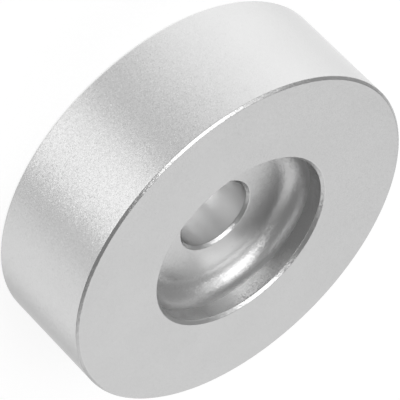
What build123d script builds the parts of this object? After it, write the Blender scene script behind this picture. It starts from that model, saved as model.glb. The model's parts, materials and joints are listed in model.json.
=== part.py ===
"""Record weight clamp: one turned aluminium disc with a dished recess and a spindle bore.

The disc stands on its flat back at z = 0, with its axis on Z and the recess facing up.
Every edge is broken by a small chamfer, and the recess floor runs into its wall in a fillet.
All sizes are in millimetres.
"""
import os

from build123d import *

# Driving dimensions
DISC_DIAMETER = 38.0
DISC_HEIGHT = 12.1
EDGE_CHAMFER = 0.25

RECESS_DIAMETER = 19.2
RECESS_DEPTH = 4.0
RECESS_FILLET = 2.1
RECESS_CHAMFER = 0.3

BORE_DIAMETER = 7.6
BORE_CHAMFER = 0.3

# Places worked out from the driving dimensions
DISC_RADIUS = DISC_DIAMETER / 2
RECESS_RADIUS = RECESS_DIAMETER / 2
BORE_RADIUS = BORE_DIAMETER / 2
FLOOR_HEIGHT = DISC_HEIGHT - RECESS_DEPTH

CORNER = (Align.MIN, Align.MIN)


def blank_section():
    """Half section of the bored blank with its recess, before any edge is broken."""
    blank = Pos(BORE_RADIUS, 0) * Rectangle(DISC_RADIUS - BORE_RADIUS, DISC_HEIGHT, align=CORNER)
    recess = Pos(BORE_RADIUS, FLOOR_HEIGHT) * Rectangle(RECESS_RADIUS - BORE_RADIUS, RECESS_DEPTH, align=CORNER)
    return blank - recess


def corner_at(section, radius, height):
    """The corner of the half section that lies at this radius and height."""
    return section.vertices().sort_by_distance((radius, height))[0]


def disc_section():
    """Half section with every edge chamfered and the recess floor filleted into its wall."""
    section = blank_section()
    broken_edges = (
        (DISC_RADIUS, 0, EDGE_CHAMFER),
        (DISC_RADIUS, DISC_HEIGHT, EDGE_CHAMFER),
        (RECESS_RADIUS, DISC_HEIGHT, RECESS_CHAMFER),
        (BORE_RADIUS, FLOOR_HEIGHT, BORE_CHAMFER),
        (BORE_RADIUS, 0, BORE_CHAMFER),
    )
    for radius, height, size in broken_edges:
        section = chamfer(corner_at(section, radius, height), size)
    return fillet(corner_at(section, RECESS_RADIUS, FLOOR_HEIGHT), RECESS_FILLET)


def weight_disc():
    """The disc, turned from its half section about Z."""
    return revolve(Plane.XZ * disc_section(), Axis.Z)


def main():
    os.makedirs("parts", exist_ok=True)
    disc = weight_disc()
    disc.label = "weight_disc"
    export_step(disc, "parts/weight_disc.step")


main()
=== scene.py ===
"""Looks of the record weight clamp: one disc, turned, bead-blasted and anodised in silver.

The disc lies on its flat back with the recess up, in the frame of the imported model. Lengths are in
metres and angles in degrees. Left, right, front and rear are as seen from the camera before its roll.
"""
import cmath
import json
import logging
import math
from collections.abc import Mapping
from dataclasses import dataclass
from enum import Enum
from typing import Any

import bpy
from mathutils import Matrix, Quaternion, Vector


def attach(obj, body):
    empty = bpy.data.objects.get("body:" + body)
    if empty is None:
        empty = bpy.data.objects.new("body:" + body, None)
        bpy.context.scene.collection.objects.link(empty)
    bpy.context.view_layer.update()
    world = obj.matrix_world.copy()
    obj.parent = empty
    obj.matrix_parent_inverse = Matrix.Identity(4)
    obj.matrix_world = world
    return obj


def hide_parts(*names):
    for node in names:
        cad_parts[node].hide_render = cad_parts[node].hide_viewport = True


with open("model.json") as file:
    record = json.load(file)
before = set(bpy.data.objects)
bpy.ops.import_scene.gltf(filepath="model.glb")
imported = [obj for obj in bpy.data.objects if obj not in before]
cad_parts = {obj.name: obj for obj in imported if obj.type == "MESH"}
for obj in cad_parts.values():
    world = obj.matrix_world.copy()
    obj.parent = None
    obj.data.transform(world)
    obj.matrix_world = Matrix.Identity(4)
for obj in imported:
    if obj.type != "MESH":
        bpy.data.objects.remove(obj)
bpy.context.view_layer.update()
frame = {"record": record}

log = logging.getLogger("record_weight")

Colour = tuple[float, float, float, float]
Triple = tuple[float, float, float]

MILLIMETRE = 0.001
DISC_NODE = "weight_disc"
DISC_BODY = "root"
WHITE: Colour = (1.0, 1.0, 1.0, 1.0)
UP = Vector((0, 0, 1))
ACROSS_AXIS: Triple = (1.0, 1.0, 0.0)
NOISE_MEAN = 0.5
CELL_MEAN: Triple = (0.5, 0.5, 0.5)


class Value:
    """A shader socket that takes part in Python arithmetic by adding Math nodes."""

    def __init__(self, board: "Board", socket: bpy.types.NodeSocket | None) -> None:
        """Wraps one output socket of a node on the board; a closing node has none."""
        self.board = board
        self.socket = socket

    def _math(self, operation: str, *terms: "Value | float") -> "Value":
        """Adds one Math node for these terms and returns its result."""
        return self.board.add("ShaderNodeMath", {"operation": operation}, dict(enumerate(terms)))

    def __add__(self, other: "Value | float") -> "Value":
        """This value plus another."""
        return self._math("ADD", self, other)

    def __radd__(self, other: float) -> "Value":
        """A number plus this value."""
        return self._math("ADD", other, self)

    def __sub__(self, other: "Value | float") -> "Value":
        """This value less another."""
        return self._math("SUBTRACT", self, other)

    def __rsub__(self, other: float) -> "Value":
        """A number less this value."""
        return self._math("SUBTRACT", other, self)

    def __mul__(self, other: "Value | float") -> "Value":
        """This value times another."""
        return self._math("MULTIPLY", self, other)

    def __rmul__(self, other: float) -> "Value":
        """A number times this value."""
        return self._math("MULTIPLY", other, self)

    def __truediv__(self, other: "Value | float") -> "Value":
        """This value divided by another."""
        return self._math("DIVIDE", self, other)

    def __rtruediv__(self, other: float) -> "Value":
        """A number divided by this value."""
        return self._math("DIVIDE", other, self)

    def __abs__(self) -> "Value":
        """The size of this value without its sign."""
        return self._math("ABSOLUTE", self)


class CellReading(Enum):
    """What is read from random cells: a cell's own colour, or the way to its middle in cell sizes."""

    OWN_COLOUR = "Color"
    DISTANCE = "Distance"


class Board:
    """A node tree that grows one node at a time."""

    # Places of the colour sockets on a Mix node, where several sockets share a name.
    FIRST_COLOUR = 6
    SECOND_COLOUR = 7
    MIXED_COLOUR = 2

    def __init__(self, tree: bpy.types.NodeTree) -> None:
        """Takes over a tree and empties it."""
        self.tree = tree
        tree.nodes.clear()

    @classmethod
    def on(cls, owner: bpy.types.Material | bpy.types.World) -> "Board":
        """The empty board of a material or a world."""
        owner.use_nodes = True
        return cls(owner.node_tree)

    def add(
        self,
        kind: str,
        settings: Mapping[str, Any] | None = None,
        sockets: Mapping[str | int, Any] | None = None,
        output: str | int = 0,
    ) -> Value:
        """Adds a node and returns one of its outputs.

        Args:
            kind: The node's type.
            settings: Properties of the node, set before its sockets.
            sockets: Numbers, colours, vectors or links for its inputs, by name or place.
            output: Name or place of the output that is returned.

        Returns:
            The chosen output.
        """
        node = self.tree.nodes.new(kind)
        for name, setting in (settings or {}).items():
            setattr(node, name, setting)
        for key, given in (sockets or {}).items():
            if isinstance(given, Value):
                self.tree.links.new(given.socket, node.inputs[key])
            else:
                node.inputs[key].default_value = given
        return Value(self, node.outputs[output] if node.outputs else None)

    def noise(self, place: Value, size: float, detail: float) -> Value:
        """Cloudy noise from 0 to 1.

        Args:
            place: Where on the surface it is read.
            size: About how far its largest lumps lie apart.
            detail: How many finer layers it holds.

        Returns:
            The noise at that place.
        """
        sockets = {"Vector": place, "Scale": 1 / size, "Detail": detail}
        return self.add("ShaderNodeTexNoise", sockets=sockets, output="Fac")

    def cells(self, place: Value, size: float, reading: CellReading) -> Value:
        """Random cells that fill space.

        Args:
            place: Where on the surface they are read.
            size: About how far the cells lie apart.
            reading: What is read from the cell at that place.

        Returns:
            The reading.
        """
        sockets = {"Vector": place, "Scale": 1 / size}
        return self.add("ShaderNodeTexVoronoi", sockets=sockets, output=reading.value)

    def blend(self, share: Value, first: "Value | Colour", second: "Value | Colour") -> Value:
        """The first colour at a share of 0, the second at 1, and mixtures between.

        Args:
            share: How much of the second colour shows.
            first: The colour at 0.
            second: The colour at 1.

        Returns:
            The mixed colour.
        """
        sockets = {"Factor": share, self.FIRST_COLOUR: first, self.SECOND_COLOUR: second}
        return self.add("ShaderNodeMix", {"data_type": "RGBA"}, sockets, self.MIXED_COLOUR)

    def smooth_step(self, value: Value, start: float, end: float) -> Value:
        """0 where the value is below start, 1 where it is past end, and an S-curve between.

        Args:
            value: What is compared.
            start: Where the step begins.
            end: Where the step is over.

        Returns:
            The step, from 0 to 1.
        """
        sockets = {"Value": value, "From Min": start, "From Max": end}
        return self.add("ShaderNodeMapRange", {"interpolation_type": "SMOOTHSTEP"}, sockets)

    def vector(
        self,
        operation: str,
        *terms: "Value | Triple",
        scale: "Value | float | None" = None,
    ) -> Value:
        """Adds one Vector Math node.

        Args:
            operation: What the node does.
            terms: The vectors that it works on.
            scale: The factor of an operation that takes one.

        Returns:
            The resulting vector.
        """
        sockets: dict[str | int, Any] = dict(enumerate(terms))
        if scale is not None:
            sockets["Scale"] = scale
        return self.add("ShaderNodeVectorMath", {"operation": operation}, sockets)

    def dot(self, vector: Value, along: Vector) -> Value:
        """How far a vector reaches along a direction."""
        sockets = {0: vector, 1: tuple(along)}
        return self.add("ShaderNodeVectorMath", {"operation": "DOT_PRODUCT"}, sockets, "Value")

    def length(self, vector: Value) -> Value:
        """How long a vector is."""
        return self.add("ShaderNodeVectorMath", {"operation": "LENGTH"}, {0: vector}, "Value")


def put_in_scene(name: str, data: bpy.types.ID) -> bpy.types.Object:
    """Makes an object of a mesh or a camera and links it to the scene.

    Args:
        name: The object's name.
        data: The mesh or camera that it shows.

    Returns:
        The new object.
    """
    placed = bpy.data.objects.new(name, data)
    bpy.context.scene.collection.objects.link(placed)
    return placed


@dataclass(frozen=True)
class BlastedSkin:
    """Bead-blasted, clear-anodised aluminium: satin silver whose bead marks each lean their own way."""

    name: str
    roughness: float
    mark_lean: float
    mark_size: float = 0.09 * MILLIMETRE
    silver: Colour = (0.66, 0.66, 0.66, 1.0)
    shade: Colour = (0.635, 0.635, 0.635, 1.0)
    # A darker tone for a few fine specks.
    speck: Colour = (0.54, 0.54, 0.54, 1.0)
    cloud_size: float = 5.0 * MILLIMETRE
    cloud_detail: float = 3.0
    cloud_gloss: float = 0.04
    wave_size: float = 0.35 * MILLIMETRE
    wave_detail: float = 1.0
    wave_depth: float = 0.006 * MILLIMETRE
    wave_gloss: float = 0.06
    speck_gap: float = 6.0 * MILLIMETRE
    speck_radius: float = 0.16 * MILLIMETRE
    speck_core: float = 0.08 * MILLIMETRE

    def waves(self, board: Board, place: Value) -> Value:
        """The height of the skin's gentle waves, from 0 to 1."""
        return board.noise(place, self.wave_size, self.wave_detail)

    def lean_marks(self, board: Board, place: Value, normal: Value) -> Value:
        """Leans the surface at random within each bead mark, many a little and a few far.

        Args:
            board: The material's node board.
            place: Where on the disc the surface is read.
            normal: The way that the surface faces without the marks.

        Returns:
            The way that the bead mark at that place faces.
        """
        marks = board.cells(place, self.mark_size, CellReading.OWN_COLOUR)
        lean = board.vector("SUBTRACT", marks, CELL_MEAN)
        aside = board.vector("SCALE", lean, scale=board.length(lean) * self.mark_lean)
        return board.vector("NORMALIZE", board.vector("ADD", normal, aside))

    def specks(self, board: Board, place: Value) -> Value:
        """1 inside the few fine specks that the material darkens, and 0 elsewhere."""
        distance = board.cells(place, self.speck_gap, CellReading.DISTANCE) * self.speck_gap
        return 1 - board.smooth_step(distance, self.speck_core, self.speck_radius)

    def material(self) -> bpy.types.Material:
        """Makes the finish as a node material.

        Returns:
            The material.
        """
        skin = bpy.data.materials.new(self.name)
        board = Board.on(skin)
        place = board.add("ShaderNodeTexCoord", output="Object")
        clouds = board.noise(place, self.cloud_size, self.cloud_detail)
        waves = self.waves(board, place)
        wavy = board.add("ShaderNodeBump", sockets={"Height": waves, "Distance": self.wave_depth})
        tint = board.blend(clouds, self.silver, self.shade)
        gloss = (clouds - NOISE_MEAN) * self.cloud_gloss + (waves - NOISE_MEAN) * self.wave_gloss
        metal = board.add(
            "ShaderNodeBsdfPrincipled",
            sockets={
                # A few fine specks are darkened in the base colour.
                "Base Color": board.blend(self.specks(board, place), tint, self.speck),
                "Metallic": 1.0,
                "Roughness": self.roughness + gloss,
                "Normal": self.lean_marks(board, place, wavy),
            },
        )
        board.add("ShaderNodeOutputMaterial", sockets={"Surface": metal})
        return skin


@dataclass(frozen=True)
class CutSkin(BlastedSkin):
    """A lightly blasted cut, in which the tool's rings about the axis still show."""

    ring_gap: float = 0.1 * MILLIMETRE
    wave_depth: float = 0.002 * MILLIMETRE

    def waves(self, board: Board, place: Value) -> Value:
        """The height of the tool's rings, which is the same all round the axis.

        Args:
            board: The material's node board.
            place: Where on the disc the surface is read.

        Returns:
            The height, from 0 to 1.
        """
        radius = board.length(board.vector("MULTIPLY", place, ACROSS_AXIS))
        section = board.add("ShaderNodeCombineXYZ", sockets={"X": radius, "Y": board.dot(place, UP)})
        return board.noise(section, self.ring_gap, self.wave_detail)


class Zone(Enum):
    """The turned surfaces of the disc, each with its finish."""

    PLAIN = BlastedSkin("blasted_aluminium", roughness=0.36, mark_lean=0.24)
    EDGE = CutSkin("blasted_edges", roughness=0.29, mark_lean=0.32)
    RECESS = BlastedSkin("blasted_recess", roughness=0.33, mark_lean=0.13)
    WALL = BlastedSkin("blasted_wall", roughness=0.24, mark_lean=0.13)
    FILLET = BlastedSkin("blasted_fillet", roughness=0.33, mark_lean=0.24)
    BORE = CutSkin(
        "reamed_bore_with_painted_light",
        roughness=0.3,
        mark_lean=0.05,
        # Lighter silver and shade than the other zones: partly the reamed finish, and partly painted
        # light that stands in for light reaching into the bore.
        silver=(0.69, 0.69, 0.69, 1.0),
        shade=(0.67, 0.67, 0.67, 1.0),
    )


@dataclass(frozen=True)
class Corner:
    """A corner of the half section, with the zones of its arc and of the run that leaves it."""

    radius: float
    height: float
    round_off: float
    arc_steps: int
    arc_zone: Zone
    run_zone: Zone

    @property
    def point(self) -> complex:
        """The corner as a complex number: distance from the axis, then height."""
        return complex(self.radius, self.height)


@dataclass
class WeightDisc:
    """The disc, turned about Z from a half section with every edge broken."""

    radius: float
    height: float
    bore_radius: float
    edge_chamfer: float = 0.25 * MILLIMETRE
    recess_radius: float = 9.6 * MILLIMETRE
    recess_depth: float = 4.0 * MILLIMETRE
    recess_fillet: float = 2.1 * MILLIMETRE
    recess_chamfer: float = 0.3 * MILLIMETRE
    bore_chamfer: float = 0.3 * MILLIMETRE
    edge_round: float = 0.12 * MILLIMETRE
    edge_steps: int = 4
    fillet_steps: int = 24
    hold: float = 0.03 * MILLIMETRE
    segments: int = 288

    @classmethod
    def from_record(cls, record: Mapping[str, Any]) -> "WeightDisc":
        """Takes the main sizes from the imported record's mounts.

        Args:
            record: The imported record.

        Returns:
            The disc at those sizes.
        """
        mounts = {mount["name"]: mount for mount in record["mounts"]}
        _, _, face_height = mounts["recessed_face"]["pos_m"]
        return cls(
            radius=mounts["rim"]["dims"]["r_mm"] * MILLIMETRE,
            height=face_height,
            bore_radius=mounts["spindle_bore"]["dims"]["r_mm"] * MILLIMETRE,
        )

    def corners(self) -> list[Corner]:
        """Lists the corners of the half section.

        Returns:
            The corners, from the bore's lower lip outwards and round.
        """
        floor = self.height - self.recess_depth
        lip = self.bore_radius + self.bore_chamfer

        def edge(radius: float, height: float, run_zone: Zone) -> Corner:
            """A sharp corner that is only just rounded off."""
            return Corner(radius, height, self.edge_round, self.edge_steps, Zone.EDGE, run_zone)

        return [
            edge(lip, 0, Zone.PLAIN),
            edge(self.radius - self.edge_chamfer, 0, Zone.EDGE),
            edge(self.radius, self.edge_chamfer, Zone.PLAIN),
            edge(self.radius, self.height - self.edge_chamfer, Zone.EDGE),
            edge(self.radius - self.edge_chamfer, self.height, Zone.PLAIN),
            edge(self.recess_radius + self.recess_chamfer, self.height, Zone.EDGE),
            edge(self.recess_radius, self.height - self.recess_chamfer, Zone.WALL),
            Corner(
                radius=self.recess_radius,
                height=floor,
                round_off=self.recess_fillet,
                arc_steps=self.fillet_steps,
                arc_zone=Zone.FILLET,
                run_zone=Zone.RECESS,
            ),
            edge(lip, floor, Zone.EDGE),
            edge(self.bore_radius, floor - self.bore_chamfer, Zone.BORE),
            edge(self.bore_radius, self.bore_chamfer, Zone.EDGE),
        ]

    def section(self) -> list[tuple[complex, Zone]]:
        """Rounds the corners off and holds each rounding between two close points.

        Returns:
            The closed half section as points, each with the zone of the stretch that follows it.
        """
        corners = self.corners()
        stretches: list[tuple[complex, Zone]] = []
        for index, corner in enumerate(corners):
            before = corners[index - 1].point
            after = corners[(index + 1) % len(corners)].point
            along_in = (corner.point - before) / abs(corner.point - before)
            along_out = (after - corner.point) / abs(after - corner.point)
            turn = cmath.phase(along_out / along_in)
            reach = corner.round_off * math.tan(abs(turn) / 2)
            start = corner.point - along_in * reach
            centre = start + along_in * complex(0, math.copysign(corner.round_off, turn))
            stretches.append((start - along_in * self.hold, corners[index - 1].run_zone))
            for step in range(corner.arc_steps):
                arc = cmath.exp(complex(0, turn * step / corner.arc_steps))
                stretches.append((centre + (start - centre) * arc, corner.arc_zone))
            end = corner.point + along_out * reach
            stretches.append((end, corner.run_zone))
            stretches.append((end + along_out * self.hold, corner.run_zone))
        return stretches

    def mesh(self) -> bpy.types.Mesh:
        """Turns the section about the axis and dresses each zone in its finish.

        Returns:
            The closed mesh, with one material slot for each zone.
        """
        section = self.section()
        turns = [cmath.exp(complex(0, math.tau * step / self.segments)) for step in range(self.segments)]
        points = [
            (point.real * turn.real, point.real * turn.imag, point.imag)
            for point, _ in section
            for turn in turns
        ]
        slots = {zone: slot for slot, zone in enumerate(Zone)}
        faces: list[tuple[int, int, int, int]] = []
        face_slots: list[int] = []
        for ring, (_, zone) in enumerate(section):
            low = ring * self.segments
            high = (ring + 1) % len(section) * self.segments
            for step in range(self.segments):
                turned = (step + 1) % self.segments
                faces.append((low + step, low + turned, high + turned, high + step))
                face_slots.append(slots[zone])
        mesh = bpy.data.meshes.new("turned_disc")
        mesh.from_pydata(points, [], faces)
        for zone in Zone:
            mesh.materials.append(zone.value.material())
        mesh.polygons.foreach_set("material_index", face_slots)
        mesh.shade_smooth()
        mesh.validate()
        return mesh

    def build(self) -> bpy.types.Object:
        """Makes the disc's piece, which takes the place of the solid.

        Returns:
            The piece.
        """
        disc = put_in_scene("turned_disc", self.mesh())
        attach(disc, DISC_BODY)
        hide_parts(DISC_NODE)
        return disc


@dataclass(frozen=True)
class LightTable:
    """The pale table under the disc: white to the camera, and it keeps the disc's soft shadow."""

    radius: float = 3.0
    sides: int = 96
    glow: float = 0.79
    paper: Colour = (0.3, 0.3, 0.3, 1.0)

    def material(self) -> bpy.types.Material:
        """Makes the table's white: a glow for the camera alone, and lit paper for the shadow.

        Returns:
            The material.
        """
        white = bpy.data.materials.new("table_white")
        white.cycles.emission_sampling = "NONE"
        board = Board.on(white)
        camera = board.add("ShaderNodeLightPath", output="Is Camera Ray")
        glow = board.add("ShaderNodeEmission", sockets={"Color": WHITE, "Strength": camera * self.glow})
        paper = board.add("ShaderNodeBsdfDiffuse", sockets={"Color": self.paper})
        both = board.add("ShaderNodeAddShader", sockets={0: glow, 1: paper})
        board.add("ShaderNodeOutputMaterial", sockets={"Surface": both})
        return white

    def build(self) -> bpy.types.Object:
        """Makes a flat round table top at the height that the disc rests on.

        Returns:
            The table top.
        """
        rim = [
            (self.radius * math.cos(turn), self.radius * math.sin(turn), 0)
            for turn in (math.tau * side / self.sides for side in range(self.sides))
        ]
        mesh = bpy.data.meshes.new("light_table")
        mesh.from_pydata(rim, [], [tuple(range(self.sides))])
        mesh.materials.append(self.material())
        table = put_in_scene("light_table", mesh)
        table.visible_glossy = False
        table.visible_shadow = False
        return table


def compass(azimuth: float, elevation: float) -> Vector:
    """The direction that lies at an azimuth from the camera's side and an elevation.

    Args:
        azimuth: Degrees from -Y, towards +X.
        elevation: Degrees above the table.

    Returns:
        The unit direction.
    """
    turn = math.radians(azimuth)
    rise = math.radians(elevation)
    level = math.cos(rise)
    return Vector((math.sin(turn) * level, -math.cos(turn) * level, math.sin(rise)))


@dataclass(frozen=True)
class Softbox:
    """A soft rectangle of light far away, as the metal mirrors it."""

    azimuth: float
    elevation: float
    half_width: float
    half_height: float
    softness: float
    radiance: float
    side_fade: float = 0.05

    def shine(self, board: Board, direction: Value) -> Value:
        """The light that comes from one direction of the world.

        Args:
            board: The world's node board.
            direction: The direction looked at.

        Returns:
            The radiance that this box adds there.
        """
        towards = compass(self.azimuth, self.elevation)
        across = UP.cross(towards).normalized()
        upwards = towards.cross(across)
        ahead = board.dot(direction, towards)
        shine = board.smooth_step(ahead, 0.0, self.side_fade) * self.radiance
        half_soft = math.tan(math.radians(self.softness)) / 2
        for axis, half_angle in ((across, self.half_width), (upwards, self.half_height)):
            reach = math.tan(math.radians(half_angle))
            aside = abs(board.dot(direction, axis) / ahead)
            shine = shine * (1 - board.smooth_step(aside, reach - half_soft, reach + half_soft))
        return shine


@dataclass(frozen=True)
class Studio:
    """The light around the disc: a dim room over a pale table, a backdrop and seven soft panels."""

    room: float = 0.25
    table: float = 0.465
    horizon_blur: float = 0.45
    backdrop: Softbox = Softbox(
        azimuth=151.5, elevation=33, half_width=36, half_height=27, softness=27, radiance=0.7
    )
    overhead: Softbox = Softbox(
        azimuth=-26, elevation=49.5, half_width=20.5, half_height=25.5, softness=11.5, radiance=1.38
    )
    overhead_fill: Softbox = Softbox(
        azimuth=-57, elevation=58, half_width=24, half_height=36.5, softness=12, radiance=0.54
    )
    left_bounce: Softbox = Softbox(
        azimuth=-90, elevation=-52.5, half_width=49.5, half_height=65.5, softness=70, radiance=0.9
    )
    right_bounce: Softbox = Softbox(
        azimuth=103.5, elevation=-20, half_width=29.5, half_height=20, softness=6, radiance=0.62
    )
    rear_bounce: Softbox = Softbox(
        azimuth=181, elevation=-14.5, half_width=32, half_height=19, softness=10, radiance=0.45
    )
    front_strip: Softbox = Softbox(
        azimuth=30.5, elevation=-13, half_width=23.5, half_height=25, softness=11.5, radiance=1.2
    )
    left_wall: Softbox = Softbox(
        azimuth=-108, elevation=54.5, half_width=59, half_height=46.5, softness=22, radiance=0.085
    )

    @property
    def panels(self) -> tuple[Softbox, ...]:
        """The backdrop and every soft panel."""
        return tuple(lamp for lamp in vars(self).values() if isinstance(lamp, Softbox))

    def light(self, board: Board, direction: Value) -> Value:
        """The light that reaches the disc from one direction.

        Args:
            board: The world's node board.
            direction: The direction looked at.

        Returns:
            The radiance that comes from there.
        """
        height = board.dot(direction, UP)
        above = board.smooth_step(height, -self.horizon_blur, self.horizon_blur)
        light = self.table + (self.room - self.table) * above
        for panel in self.panels:
            light = light + panel.shine(board, direction)
        return light

    def build(self) -> bpy.types.World:
        """Makes the world: white to the camera, and the lit studio to everything else.

        Returns:
            The scene's world.
        """
        world = bpy.data.worlds.new("studio")
        board = Board.on(world)
        direction = board.add("ShaderNodeTexCoord", output="Generated")
        camera = board.add("ShaderNodeLightPath", output="Is Camera Ray")
        strength = camera + (1 - camera) * self.light(board, direction)
        white = board.add("ShaderNodeBackground", sockets={"Color": WHITE, "Strength": strength})
        board.add("ShaderNodeOutputWorld", sockets={"Surface": white})
        bpy.context.scene.world = world
        return world


@dataclass(frozen=True)
class PhotoCamera:
    """A long lens at the photograph's viewing angle, rolled so that the recess faces down right."""

    focal_length_mm: float = 388.2
    distance: float = 406.8 * MILLIMETRE
    clip_start: float = 4.0 * MILLIMETRE
    elevation: float = 30.53
    roll: float = 135.06
    aim: Triple = (0.0, 2.5 * MILLIMETRE, 4.254 * MILLIMETRE)
    lens_axis: Triple = (0.0, 0.0, 1.0)

    def build(self) -> bpy.types.Object:
        """Makes the camera and hands it to the scene.

        Returns:
            The camera.
        """
        lens = bpy.data.cameras.new("photo_camera")
        lens.lens = self.focal_length_mm
        lens.clip_start = self.clip_start
        camera = put_in_scene("photo_camera", lens)
        back = compass(0, self.elevation)
        camera.location = Vector(self.aim) + back * self.distance
        camera.rotation_mode = "QUATERNION"
        level = (-back).to_track_quat("-Z", "Y")
        camera.rotation_quaternion = level @ Quaternion(self.lens_axis, math.radians(self.roll))
        bpy.context.scene.camera = camera
        return camera


def main() -> None:
    """Builds the disc, the table, the light and the camera, and reports each."""
    logging.basicConfig(level=logging.INFO, format="%(name)s: %(message)s")
    bpy.context.scene.view_settings.view_transform = "Standard"
    disc = WeightDisc.from_record(frame["record"]).build()
    log.info("disc %s with %d faces", disc.name, len(disc.data.polygons))
    log.info("table %s", LightTable().build().name)
    log.info("world %s", Studio().build().name)
    log.info("camera %s", PhotoCamera().build().name)


if __name__ == "__main__":
    main()
